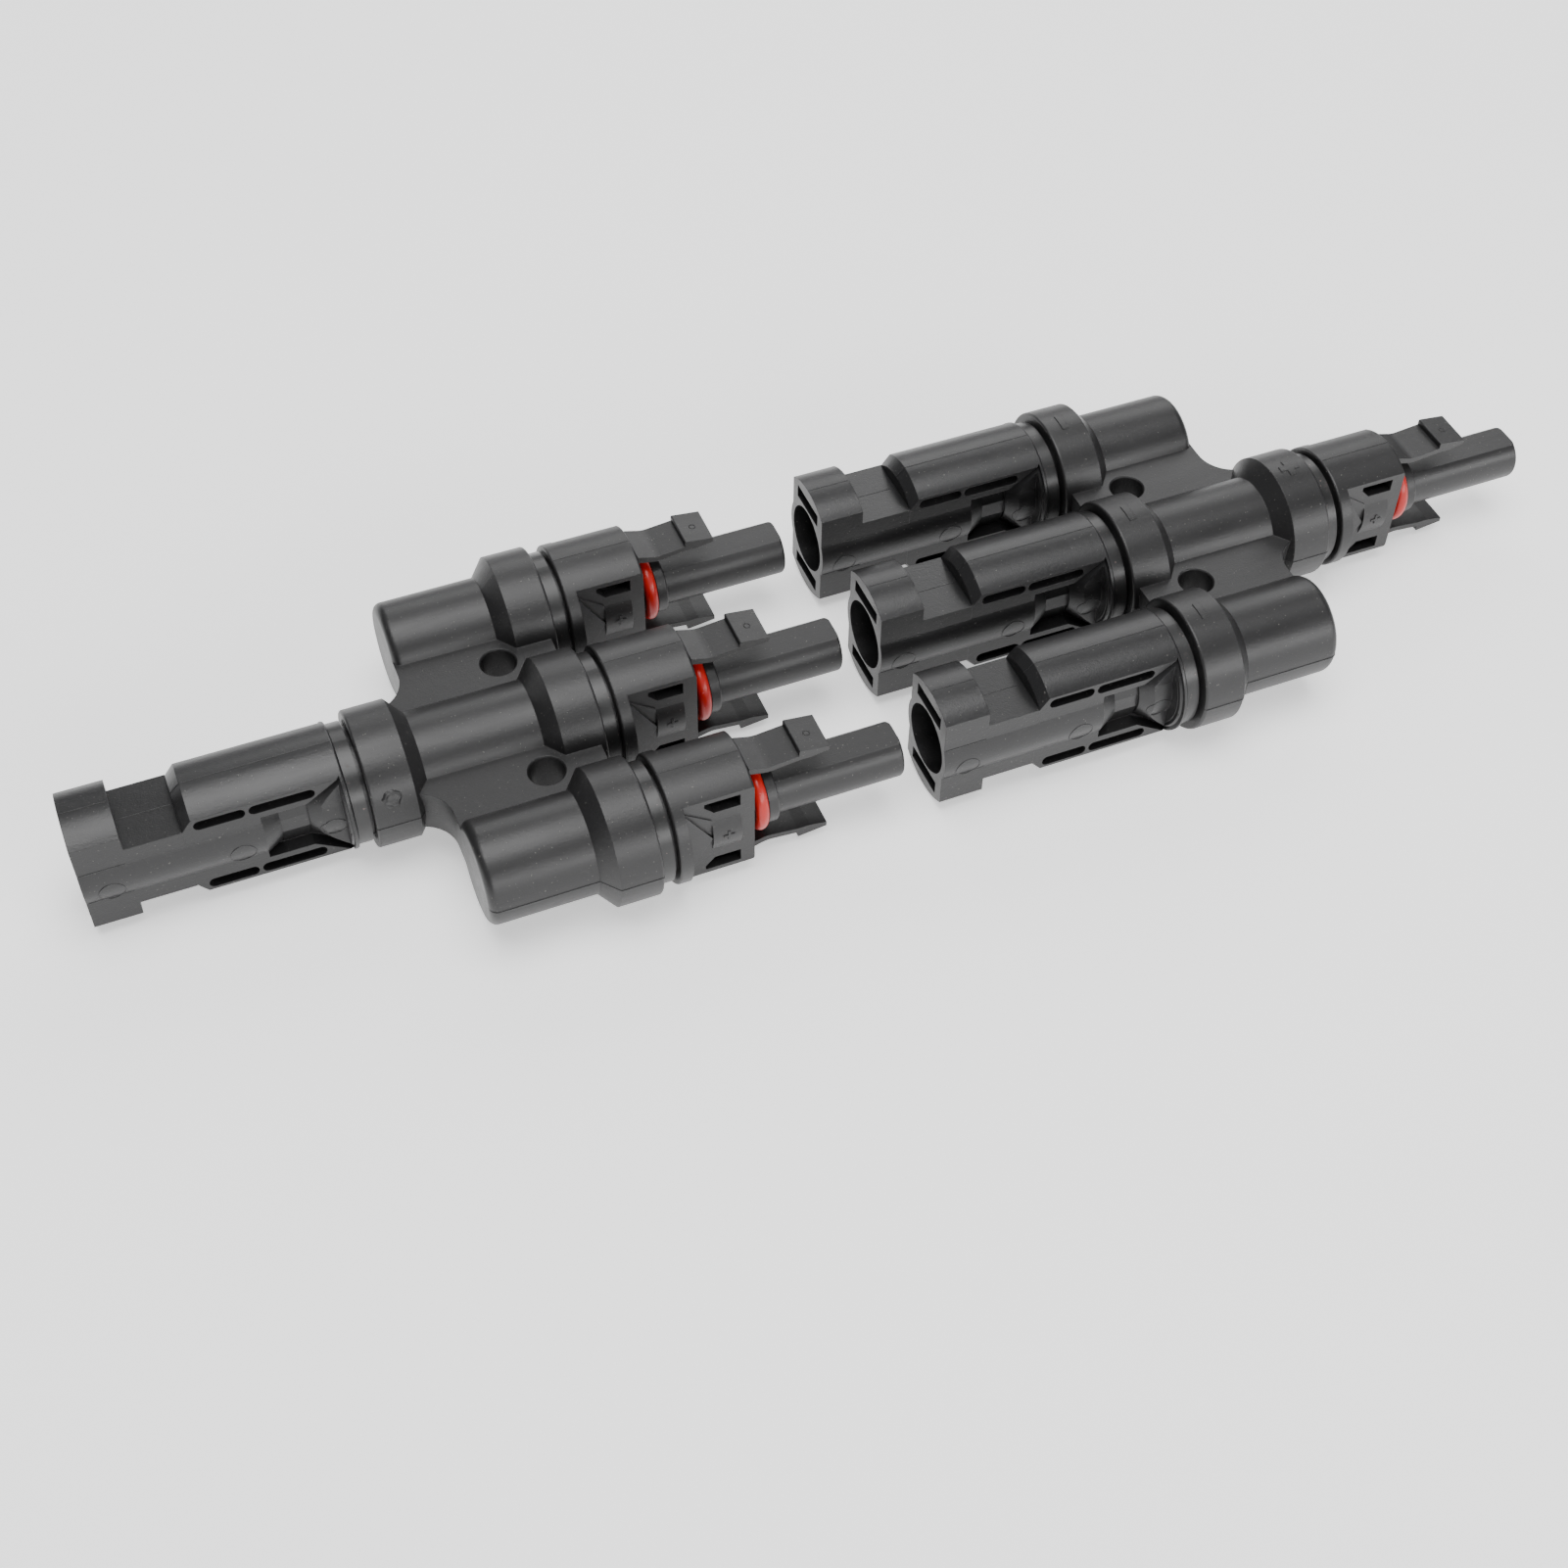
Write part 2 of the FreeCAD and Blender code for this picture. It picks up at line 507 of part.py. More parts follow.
def socket_contact():
    """The female contact: a bored tube in the nose, a grooved shank and a crimp barrel."""
    front = NOSE_LENGTH - NOSE_LIP - CONTACT_CLEARANCE
    x_clip = probe_clip_x()
    bore_r = PIN_R + SOCKET_CLEARANCE
    groove = pipe(bore_r + SPRING_THICKNESS, bore_r, front - SPRING_SETBACK - SPRING_LENGTH,
                  front - SPRING_SETBACK)
    tube = cylinder(SOCKET_R, x_clip - CLIP_WIDTH, front)
    tube = tube.cut([cylinder(bore_r, front - SOCKET_DEPTH, front + CUT_SPARE), groove])
    clip_seat = pipe(SOCKET_R + CUT_SPARE, SOCKET_R - CLIP_GROOVE_DEPTH, x_clip - CLIP_WIDTH, x_clip)
    crimp_front = x_clip - CLIP_WIDTH
    barrel = crimp_barrel(crimp_front - CRIMP_LENGTH, crimp_front, crimp_front - CRIMP_LENGTH)
    return tube.cut(clip_seat).fuse(barrel).removeSplitter()


def contact_spring():
    """The louvred band inside the socket, which grips the pin."""
    front = NOSE_LENGTH - NOSE_LIP - CONTACT_CLEARANCE - SPRING_SETBACK - CONTACT_CLEARANCE
    bore_r = PIN_R + SOCKET_CLEARANCE
    rear = front - SPRING_LENGTH + 2 * CONTACT_CLEARANCE
    return pipe(bore_r + SPRING_THICKNESS - CONTACT_CLEARANCE, bore_r, rear, front)


def contact_clip(x_front):
    """An open spring-steel ring that holds a contact in its housing."""
    inner = SOCKET_R - CLIP_GROOVE_DEPTH + CONTACT_CLEARANCE
    outer = SOCKET_R + CLIP_GROOVE_DEPTH
    slack = CONTACT_CLEARANCE
    ring = pipe(outer, inner, x_front - CLIP_WIDTH + slack, x_front - slack)
    half = math.radians(CLIP_MOUTH / 2)
    reach = 2 * outer
    wedge = Part.makePolygon([FreeCAD.Vector(x_front - CLIP_WIDTH, y, z) for y, z in (
        (0, 0), (-reach * math.sin(half), -reach * math.cos(half)),
        (reach * math.sin(half), -reach * math.cos(half)), (0, 0))])
    return ring.cut(Part.Face(wedge).extrude(FreeCAD.Vector(CLIP_WIDTH, 0, 0)))


def seal_ring(x0):
    """The ring between a collar and a housing, on the housing's spigot."""
    ring = cylinder(RING_R, x0 + RING_CLEARANCE, x0 + RING_LENGTH)
    return ring.cut(cylinder(SPIGOT_R + RING_CLEARANCE, x0 - CUT_SPARE, x0 + RING_LENGTH + CUT_SPARE))


# ---- shell end, drawn with its mouth at X = 0 and its body towards +X ----

def mouth_block():
    solid = cylinder(MOUTH_R, 0, MOUTH_LENGTH)
    return solid.common(flats(0, MOUTH_LENGTH, MOUTH_HALF_WIDTH))


def shell_barrel():
    """The wide barrel behind the latch windows, chamfered in front, with flats on its sides."""
    solid = cylinder(SHELL_R, BARREL_START, SHELL_LENGTH)
    front = [edge for edge in solid.Edges if ring_edge_at(BARREL_START)(edge)]
    solid = solid.makeChamfer(BARREL_CHAMFER, front)
    solid = round_edges(solid, SLEEVE_EDGE_ROUND, ring_edge_at(SHELL_LENGTH))
    side = block(BARREL_START - CUT_SPARE, SHELL_LENGTH - SHELL_FLANGE_LENGTH,
                 SHELL_HALF_WIDTH, SHELL_R + CUT_SPARE, -BIG, BIG)
    return solid.cut(both_ways(side, SIDEWAYS))


def shell_core_out():
    """The hollow above the inner tube, under the barrel's skin."""
    x0 = SHELL_SLOTS[0][0]
    x1 = CORE_OUT_END
    hollow = cylinder(SHELL_R - SHELL_WALL, x0, x1)
    hollow = hollow.common(block(x0, x1, SHELL_WALL - SHELL_HALF_WIDTH, SHELL_HALF_WIDTH - SHELL_WALL,
                                 LATCH_FLOOR_Z, BIG))
    return hollow.cut(cylinder(TUBE_R, x0 - CUT_SPARE, x1 + CUT_SPARE))


def shell_side_slot(x0, x1):
    """A round-ended slot through one flat of the barrel into the hollow."""
    radius = SHELL_SLOT_HEIGHT / 2
    ends = [Part.makeCylinder(radius, SHELL_R, FreeCAD.Vector(x, 0, SHELL_SLOT_Z), SIDEWAYS)
            for x in (x0 + radius, x1 - radius)]
    middle = block(x0 + radius, x1 - radius, 0, SHELL_R, SHELL_SLOT_Z - radius, SHELL_SLOT_Z + radius)
    y_inside = SHELL_HALF_WIDTH - SHELL_WALL - CUT_SPARE
    outside = block(x0 - CUT_SPARE, x1 + CUT_SPARE, y_inside, SHELL_R, -BIG, BIG)
    return union(ends + [middle]).common(outside)


def waist_cut():
    """The pocket in one side that leaves a faceted waist, flaring out again to the flange."""
    flare_end = SHELL_LENGTH - FLARE_SETBACK
    roof = WAIST_POCKET_Z + WAIST_POCKET_RISE
    pocket = side_prism([(WAIST_START, -WAIST_POCKET_Z), (WAIST_START, WAIST_POCKET_Z),
                         (WAIST_FLAT[1], WAIST_POCKET_Z), (flare_end, roof), (flare_end, -roof),
                         (WAIST_FLAT[1], -WAIST_POCKET_Z)], WAIST_TOP_HALF_WIDTH,
                        SHELL_R + CUT_SPARE)
    facets = Part.makePolygon([FreeCAD.Vector(WAIST_FLAT[0], y, z) for y, z in (
        (0, -WAIST_POCKET_Z), (WAIST_TOP_HALF_WIDTH, -WAIST_POCKET_Z),
        (WAIST_HALF_WIDTH, -WAIST_FACET_Z), (WAIST_HALF_WIDTH, WAIST_FACET_Z),
        (WAIST_TOP_HALF_WIDTH, WAIST_POCKET_Z), (0, WAIST_POCKET_Z), (0, -WAIST_POCKET_Z))])
    waist = Part.Face(facets).extrude(FreeCAD.Vector(WAIST_FLAT[1] - WAIST_FLAT[0], 0, 0))
    return pocket.cut([cone(TUBE_R, WAIST_R, WAIST_START, WAIST_FLAT[0]), waist,
                       cone(WAIST_R, FLARE_R, WAIST_FLAT[1], flare_end)])


def latch_slots():
    """The slots in the mouth that the fingers pass through."""
    half = FINGER_HALF_WIDTH + LATCH_SLOT_CLEARANCE
    return both_ways(block(-CUT_SPARE, MOUTH_LENGTH, -half, half, LATCH_FLOOR_Z, STRAP_Z), UP)


def latch_windows():
    """The flat-bottomed windows, top and bottom, that the barbs spring out into."""
    window = block(MOUTH_LENGTH, BARREL_START, -MOUTH_R, MOUTH_R, LATCH_FLOOR_Z, BIG)
    return both_ways(window, UP)


def shell_housing():
    neck = flats(MOUTH_LENGTH, BARREL_START, MOUTH_HALF_WIDTH, LATCH_FLOOR_Z)
    solid = union([mouth_block(), neck, shell_barrel(), cylinder(TUBE_R, 0, SHELL_LENGTH)])
    slots = [both_ways(both_ways(shell_side_slot(x0, x1), UP), SIDEWAYS) for x0, x1 in SHELL_SLOTS]
    solid = solid.cut([both_ways(shell_core_out(), UP), both_ways(waist_cut(), SIDEWAYS)])
    solid = solid.cut(slots + [latch_slots(), latch_windows()])
    spigot = cylinder(SPIGOT_R, SHELL_LENGTH - JOIN, SHELL_STANDOFF + SPIGOT_LENGTH)
    return solid.fuse(spigot).removeSplitter().cut(shell_bores())


def shell_clip_x():
    """Front of the retaining clip, inside the shell's flange."""
    return SHELL_LENGTH - FLANGE_LENGTH


def shell_bores():
    """The mating bore, the bore that holds the pin contact and its clip's groove."""
    x_clip = shell_clip_x()
    x_end = SHELL_STANDOFF + SPIGOT_LENGTH + CUT_SPARE
    return [cylinder(MOUTH_BORE_R, -CUT_SPARE, BORE_DEPTH),
            cylinder(CONTACT_BORE_R, BORE_DEPTH - JOIN, x_clip),
            cylinder(CLIP_BORE_R, x_clip - CLIP_WIDTH, x_clip),
            cylinder(CRIMP_R + CONTACT_CLEARANCE, x_clip, x_end)]


def pin_contact():
    """The male contact: a round-nosed pin, a grooved shank and a crimp barrel."""
    x_clip = shell_clip_x()
    pin = cylinder(PIN_R, PIN_SETBACK, BORE_DEPTH)
    pin = round_edges(pin, PIN_TIP_ROUND, ring_edge_at(PIN_SETBACK))
    shank = cylinder(SOCKET_R, BORE_DEPTH, x_clip)
    clip_seat = pipe(SOCKET_R + CUT_SPARE, SOCKET_R - CLIP_GROOVE_DEPTH, x_clip - CLIP_WIDTH, x_clip)
    crimp_end = x_clip + CRIMP_LENGTH
    return union([pin, shank.cut(clip_seat), crimp_barrel(x_clip, crimp_end, crimp_end)])


# ---- setting the pieces down in the shared frame ----

def save(name, shape, x, y, turned=False):
    """Write one node, moved to its axis; turned faces a piece the other way along X."""
    placed = shape.copy()
    if turned:
        placed.rotate(FreeCAD.Vector(0, 0, 0), UP, 180)
    placed.translate(FreeCAD.Vector(x, y, AXIS_Z))
    if not placed.isValid() or placed.Volume <= 0:
        raise ValueError("bad solid: " + name)
    placed.exportStep("parts/" + name + ".step")


def save_probe(prefix, x_face, y):
    finger = latch_finger()
    lower = finger.mirror(FreeCAD.Vector(0, 0, 0), UP)
    save(prefix + "probe_housing", probe_housing(), x_face, y)
    save(prefix + "latch_finger_top", finger, x_face, y)
    save(prefix + "latch_finger_bottom", lower, x_face, y)
    save(prefix + "o_ring", o_ring(), x_face, y)
    save(prefix + "socket_contact", socket_contact(), x_face, y)
    save(prefix + "contact_spring", contact_spring(), x_face, y)
    save(prefix + "contact_clip", contact_clip(probe_clip_x()), x_face, y)
    save(prefix + "seal_ring", seal_ring(-PROBE_STANDOFF), x_face, y)


def save_shell(prefix, x_mouth, y):
    save(prefix + "shell_housing", shell_housing(), x_mouth, y)
    save(prefix + "pin_contact", pin_contact(), x_mouth, y)
    save(prefix + "contact_clip", contact_clip(shell_clip_x()), x_mouth, y)
    save(prefix + "seal_ring", seal_ring(SHELL_LENGTH), x_mouth, y)


def rod_reach_probe():
    """Where a rod ends, inside the crimp barrel of a socket contact, from the collar's front."""
    return -(PROBE_STANDOFF + probe_clip_x() - CLIP_WIDTH - CRIMP_FLOOR - BUSBAR_ROD_SETBACK)


def rod_reach_shell():
    """The same for the crimp barrel of a pin contact."""
    return -(SHELL_STANDOFF - shell_clip_x() - CRIMP_FLOOR - BUSBAR_ROD_SETBACK)


def save_body(prefix, x, turned, marks, trunk_reach, branch_reach):
    upper, lower = body_halves(marks)
    save(prefix + "body_top", upper, x, 0.0, turned)
    save(prefix + "body_bottom", lower, x, 0.0, turned)
    save(prefix + "busbar", busbar(trunk_reach, branch_reach), x, 0.0, turned)


trunk_mark = polarity_mark("plus", 0.0)
trunk_mark.translate(FreeCAD.Vector(TRUNK_COLLAR_REAR - COLLAR_FRONT, 0, 0))
minus_marks = [polarity_mark("minus", y) for y in BRANCHES.values()]

save_body("a_", HALF_A_X, False, [], rod_reach_shell(), rod_reach_probe())
save_body("b_", HALF_B_X, True, minus_marks + [trunk_mark], rod_reach_probe(), rod_reach_shell())
for branch, y_axis in BRANCHES.items():
    save_probe("a_" + branch + "_", HALF_A_X + COLLAR_FRONT + PROBE_STANDOFF, y_axis)
    save_shell("b_" + branch + "_", HALF_B_X - COLLAR_FRONT - SHELL_STANDOFF, y_axis)
save_shell("a_trunk_", HALF_A_X + TRUNK_COLLAR_FRONT - SHELL_STANDOFF, 0.0)
save_probe("b_trunk_", HALF_B_X - TRUNK_COLLAR_FRONT + PROBE_STANDOFF, 0.0)
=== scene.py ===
import json
import math

import bmesh
import bpy
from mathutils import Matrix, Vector, noise as lumps
from mathutils.bvhtree import BVHTree


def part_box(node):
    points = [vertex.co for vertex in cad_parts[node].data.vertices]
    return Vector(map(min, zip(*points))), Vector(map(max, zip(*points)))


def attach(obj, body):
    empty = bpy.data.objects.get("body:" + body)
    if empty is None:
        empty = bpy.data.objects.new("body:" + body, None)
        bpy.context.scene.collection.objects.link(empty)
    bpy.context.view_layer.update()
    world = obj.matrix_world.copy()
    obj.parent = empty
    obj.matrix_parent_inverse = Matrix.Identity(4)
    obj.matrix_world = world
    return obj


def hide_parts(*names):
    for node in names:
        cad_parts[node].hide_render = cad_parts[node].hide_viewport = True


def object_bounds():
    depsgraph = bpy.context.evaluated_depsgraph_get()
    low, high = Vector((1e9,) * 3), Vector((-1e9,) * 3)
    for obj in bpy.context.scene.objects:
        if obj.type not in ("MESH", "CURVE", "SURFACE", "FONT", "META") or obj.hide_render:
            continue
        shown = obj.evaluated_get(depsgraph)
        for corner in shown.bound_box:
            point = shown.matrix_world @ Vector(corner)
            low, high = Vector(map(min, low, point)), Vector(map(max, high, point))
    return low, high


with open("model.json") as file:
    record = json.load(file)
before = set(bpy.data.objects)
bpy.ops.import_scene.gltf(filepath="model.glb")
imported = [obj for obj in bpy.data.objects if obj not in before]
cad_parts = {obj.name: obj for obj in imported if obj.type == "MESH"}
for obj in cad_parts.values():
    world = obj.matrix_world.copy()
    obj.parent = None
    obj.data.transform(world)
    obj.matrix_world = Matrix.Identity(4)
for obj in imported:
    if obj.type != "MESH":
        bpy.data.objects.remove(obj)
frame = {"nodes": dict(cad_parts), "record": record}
cad_low, cad_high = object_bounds()

# The camera stands in front of the pair, to the left of its middle, and looks down at it.
CAMERA_PLACE = (-0.1014, -0.2175, 0.2549)
CAMERA_TURN = tuple(math.radians(angle) for angle in (40.749, -0.547, -22.129))
CAMERA_LENS = 52.5
CAMERA_SENSOR = 36.0

MM = 0.001

# ---- sizes of the moulded detail ----
PARTING_BEAD = 0.065 * MM       # radius of the bead where two mould halves met
CREASE_BEAD = 0.09 * MM
EJECTOR_BEAD = 0.08 * MM
EJECTOR_R = 1.85 * MM
EJECTOR_BEHIND_MOUTH = (3.8 * MM, 21.9 * MM, 34.8 * MM)
EJECTOR_DROP = 1.4 * MM         # their centres sit a little below the axis
EJECTOR_CORNERS = 36
CREASE_HEIGHT = 2.9 * MM        # above and below the axis, on the sides of the mouth block
CREASE_LENGTH = 6.6 * MM
BARB_MARK_R = 0.45 * MM
BARB_MARK_BEHIND_TIP = 2.2 * MM
BARB_MARK_CORNERS = 24
BEAD_SIDES = 8
TRACE_STEP = 0.3 * MM           # between the rays that trace a line on a surface
TRACE_JUMP = 0.6 * MM           # a larger step in the surface ends one bead and starts another
PLUS_REACH = 0.85 * MM
PLUS_HALF_WIDTH = 0.20 * MM
PLUS_PROUD = 0.15 * MM
PLUS_ROOT = 0.10 * MM           # how deep it is seated in the pad
PLUS_EDGE_ROUND = 0.25 * PLUS_PROUD
PLUS_CELLS = 4                  # along each arm
PLUS_SHARP = math.radians(60)   # edges that turn by more than this are rounded
SAME_CORNER = 0.01 * MM
PAD_MIDDLE = 4.2 * MM           # behind the sleeve's face
GATE_R = 1.45 * MM
GATE_PROUD = 0.45 * MM
GATE_BEHIND_MOUTH = 42.9 * MM
GATE_LIFT = math.radians(26)    # round the collar from its near side
GATE_RAGGED = 0.16              # how far its outline wanders, as a share of its radius
GATE_LIP_PLACE = 0.72           # where the torn lip stands highest, as a share of its radius
GATE_LIP_REACH = 0.28
GATE_MIDDLE_LIFT = 0.25         # share of the full height that isn't lip
GATE_LIP_LIFT = 0.5
GATE_GRAIN = 2200.0             # lumps per metre
GATE_SINK = 0.03 * MM           # its rim goes this far into the collar
GATE_SKIRT = 0.15 * MM
GATE_RINGS = 14
GATE_SPOKES = 40
RAY_STANDOFF = 50 * MM
LOUVRES = 16
LOUVRE_WIDTH = 0.55 * MM
LOUVRE_THICKNESS = 0.08 * MM
LOUVRE_BOW = 0.17 * MM
LOUVRE_STEPS = 12
BAND_END = 0.7 * MM             # the plain hoop at each end of a louvred band
BAND_SIDES = 48
BAND_THICKER = 1.4              # the hoop's thickness over a louvre's

FLOOR_REACH = 6.0
FLOOR_DROP = 0.2 * MM           # the floor lies just under the pair


# ---- writing node trees as expressions ----

class Value:
    """One socket of a node tree; arithmetic on it adds Math nodes."""

    def __init__(self, tree, socket):
        self.tree = tree
        self.socket = socket

    def math(self, operation, *others):
        return self.tree.node("ShaderNodeMath", {"operation": operation}, dict(enumerate((self,) + others)))

    def reflected(self, operation, other):
        return self.tree.node("ShaderNodeMath", {"operation": operation}, {0: other, 1: self})

    def __add__(self, other):
        return self.math("ADD", other)

    def __sub__(self, other):
        return self.math("SUBTRACT", other)

    def __mul__(self, other):
        return self.math("MULTIPLY", other)

    def __truediv__(self, other):
        return self.math("DIVIDE", other)

    def __rsub__(self, other):
        return self.reflected("SUBTRACT", other)

    __radd__ = __add__
    __rmul__ = __mul__


class Tree:
    """A node tree under construction."""

    def __init__(self, node_tree):
        self.nodes = node_tree.nodes
        self.links = node_tree.links

    def node(self, kind, settings=None, inputs=None, output=0):
        """Add a node: its settings are made first, then the values or links of its sockets."""
        made = self.nodes.new(kind)
        for name, value in (settings or {}).items():
            setattr(made, name, value)
        for name, value in (inputs or {}).items():
            if isinstance(value, Value):
                self.links.new(value.socket, made.inputs[name])
            else:
                made.inputs[name].default_value = value
        return Value(self, made.outputs[output]) if len(made.outputs) else None


# ---- finishes ----

def noise(tree, place, scale, detail, roughness=0.5, distortion=0.0):
    return tree.node("ShaderNodeTexNoise", {}, {"Vector": place, "Scale": scale, "Detail": detail,
                                                "Roughness": roughness, "Distortion": distortion})


def ramp(tree, value, low, high):
    """The value spread from 0 at low to 1 at high."""
    return tree.node("ShaderNodeMapRange", {}, {"Value": value, "From Min": low, "From Max": high})


def between(tree, mask, first, second):
    """A colour that goes from first to second as the mask goes from 0 to 1."""
    mixer = tree.node("ShaderNodeMix", {"data_type": "RGBA"}, {"Factor": mask})
    node = mixer.socket.node
    for socket, colour in zip([s for s in node.inputs if s.type == "RGBA"], (first, second)):
        if isinstance(colour, Value):
            tree.links.new(colour.socket, socket)
        else:
            socket.default_value = colour + (1.0,)
    return Value(tree, [s for s in node.outputs if s.type == "RGBA"][0])


def stretched(tree, place, scale):
    return tree.node("ShaderNodeMapping", {}, {"Vector": place, "Scale": scale})


def material(name, paint, **constants):
    """A material whose varying sockets come from paint(tree, place); constants sit on the shader."""
    made = bpy.data.materials.new(name)
    made.use_nodes = True
    tree = Tree(made.node_tree)
    tree.nodes.clear()
    place = tree.node("ShaderNodeTexCoord", output="Object")
    shader = tree.node("ShaderNodeBsdfPrincipled", {}, {**constants, **paint(tree, place)})
    tree.node("ShaderNodeOutputMaterial", {}, {"Surface": shader})
    return made


def moulded_plastic(tree, place, tone, gloss, grain):
    """Black nylon: a fine spark-eroded grain, flow marks along the mould, rubbed patches and lint."""
    cloud = noise(tree, place, 90.0, 3.0)
    flow = noise(tree, stretched(tree, place, (60.0, 420.0, 420.0)), 1.0, 3.0, 0.6, 0.8)
    fine = noise(tree, place, 4600.0, 2.0)
    pits = noise(tree, place, 1500.0, 1.0)
    drag = noise(tree, stretched(tree, place, (500.0, 5200.0, 5200.0)), 1.0, 1.0)
    rubbed = ramp(tree, noise(tree, place, 420.0, 4.0, 0.7, 0.6), 0.62, 0.82)
    lint = ramp(tree, noise(tree, place, 3600.0, 0.0), 0.80, 0.83)
    swirl = noise(tree, stretched(tree, place, (900.0, 240.0, 700.0)), 1.0, 3.0, 0.7, 1.4)
    scuff = ramp(tree, swirl, 0.70, 0.76)
    base = between(tree, cloud, tuple(0.85 * c for c in tone), tuple(1.2 * c for c in tone))
    worn = between(tree, rubbed * 0.22, base, (0.060, 0.058, 0.056))
    marked = between(tree, scuff * 0.25, worn, (0.085, 0.083, 0.080))
    dusty = between(tree, lint * 0.30, marked, (0.25, 0.24, 0.22))
    roughness = gloss + 0.10 * (cloud - 0.5) + 0.14 * (flow - 0.5) + 0.08 * rubbed + 0.12 * scuff + 0.2 * lint
    height = fine * grain + pits * (0.6 * grain) + drag * (0.35 * grain)
    edge = tree.node("ShaderNodeBevel", {"samples": 4}, {"Radius": 0.12 * MM})
    bump = tree.node("ShaderNodeBump", {}, {"Strength": 0.6, "Distance": 0.04 * MM, "Height": height,
                                            "Normal": edge})
    return {"Base Color": dusty, "Roughness": roughness, "Normal": bump}


def silicone(tree, place, tone, dark):
    """Soft rubber: a faint bloom over an even colour, moulding flow and a fine matt skin."""
    cloud = noise(tree, place, 260.0, 3.0)
    bloom = ramp(tree, noise(tree, place, 900.0, 4.0, 0.7), 0.58, 0.80)
    fine = noise(tree, place, 3400.0, 2.0)
    lint = ramp(tree, noise(tree, place, 2600.0, 0.0), 0.80, 0.83)
    colour = between(tree, ramp(tree, cloud, 0.3, 0.75), tone, dark)
    bloomed = between(tree, bloom * 0.04, colour, (0.60, 0.35, 0.32))
    bump = tree.node("ShaderNodeBump", {}, {"Strength": 0.2, "Distance": 0.03 * MM, "Height": fine})
    return {"Base Color": between(tree, lint * 0.20, bloomed, (0.50, 0.36, 0.33)),
            "Roughness": 0.24 + 0.16 * cloud + 0.2 * bloom, "Normal": bump}


def drawn_metal(tree, place, tone, tarnish):
    """Turned and plated metal: fine rings round the X axis, cloudy tarnish and small handling marks."""
    lines = noise(tree, stretched(tree, place, (6000.0, 250.0, 250.0)), 1.0, 2.0)
    cloud = ramp(tree, noise(tree, place, 240.0, 4.0), 0.35, 0.75)
    marks = ramp(tree, noise(tree, place, 1300.0, 3.0, 0.7, 1.0), 0.66, 0.74)
    bump = tree.node("ShaderNodeBump", {}, {"Strength": 0.25, "Distance": 0.03 * MM,
                                            "Height": lines + 0.5 * marks})
    return {"Base Color": between(tree, cloud, tone, tarnish),
            "Roughness": 0.22 + 0.18 * lines + 0.12 * cloud + 0.15 * marks, "Normal": bump}


def plastic(name, tone, gloss, grain):
    return material(name, lambda tree, place: moulded_plastic(tree, place, tone, gloss, grain), IOR=1.5)


def metal(name, tone, tarnish):
    return material(name, lambda tree, place: drawn_metal(tree, place, tone, tarnish), Metallic=1.0)


BODY_BLACK = plastic("satin_black_nylon", (0.0125, 0.0122, 0.0125), 0.40, 0.8)
SHELL_BLACK = plastic("gloss_black_nylon", (0.0110, 0.0108, 0.0112), 0.34, 1.0)
SEAL_RED = material("red_silicone",
                    lambda tree, place: silicone(tree, place, (0.44, 0.010, 0.006), (0.34, 0.007, 0.005)),
                    **{"IOR": 1.43, "Coat Weight": 0.15, "Coat Roughness": 0.2})
SEAL_BLACK = material("black_rubber",
                      lambda tree, place: silicone(tree, place, (0.012, 0.012, 0.012), (0.02, 0.02, 0.02)))
TIN = metal("tin_plate", (0.78, 0.76, 0.71), (0.60, 0.57, 0.51))
COPPER = metal("bare_copper", (0.80, 0.38, 0.22), (0.52, 0.24, 0.15))
SPRING_STEEL = metal("spring_steel_strip", (0.62, 0.61, 0.58), (0.45, 0.44, 0.42))

FINISH_OF_SLOT = {"body_plastic": BODY_BLACK, "shell_plastic": SHELL_BLACK, "red_seal": SEAL_RED,
                  "black_seal": SEAL_BLACK, "copper": COPPER, "tinned_contact": TIN,
                  "spring_steel": SPRING_STEEL}
SLOT_OF_NODE = {row["node"]: row["material_slot"] for row in frame["record"]["subparts"]}


def finish_cad_nodes():
    for node, slot in SLOT_OF_NODE.items():
        for place in frame["nodes"][node].material_slots:
            place.material = FINISH_OF_SLOT[slot]


# ---- finding places on the frame ----

def nodes_named(ending):
    return sorted(name for name in SLOT_OF_NODE if name.endswith(ending))


def half_of(node):
    return "half_" + node[0]


def end_of(node, kind):
    """The first part of a node's name, which it shares with the other pieces of its end."""
    return node[:-len(kind)]


def axis_of(node):
    """The middle of a node's box across the connector, in Y and Z."""
    low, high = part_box(node)
    return (low[1] + high[1]) / 2, (low[2] + high[2]) / 2


def surface_of(node):
    mesh = frame["nodes"][node].data
    return BVHTree.FromPolygons([v.co for v in mesh.vertices], [p.vertices for p in mesh.polygons])


def landing(surface, start, look):
    """Where a ray from start first meets a surface, or None where it misses."""
    return surface.ray_cast(Vector(start), Vector(look))[0]


def traced(surface, starts, look):
    """The lines that a row of rays draws on a surface, broken where the surface steps or is missed."""
    lines = [[]]
    for start in starts:
        point = landing(surface, start, look)
        if point is None or (lines[-1] and (point - lines[-1][-1]).length > TRACE_JUMP):
            lines.append([])
        if point is not None:
            lines[-1].append(point)
    return [line for line in lines if len(line) > 1]


def stations(first, last):
    """Even places from first to last, about one trace step apart."""
    count = max(2, round(abs(last - first) / TRACE_STEP))
    return [first + (last - first) * i / (count - 1) for i in range(count)]


def circle(radius, corners):
    """The corners of a closed circle about the origin; the first comes again at the end."""
    turns = [2 * math.pi * i / corners for i in range(corners + 1)]
    return [(radius * math.cos(turn), radius * math.sin(turn)) for turn in turns]


# ---- beads along lines, drawn by one geometry tree ----

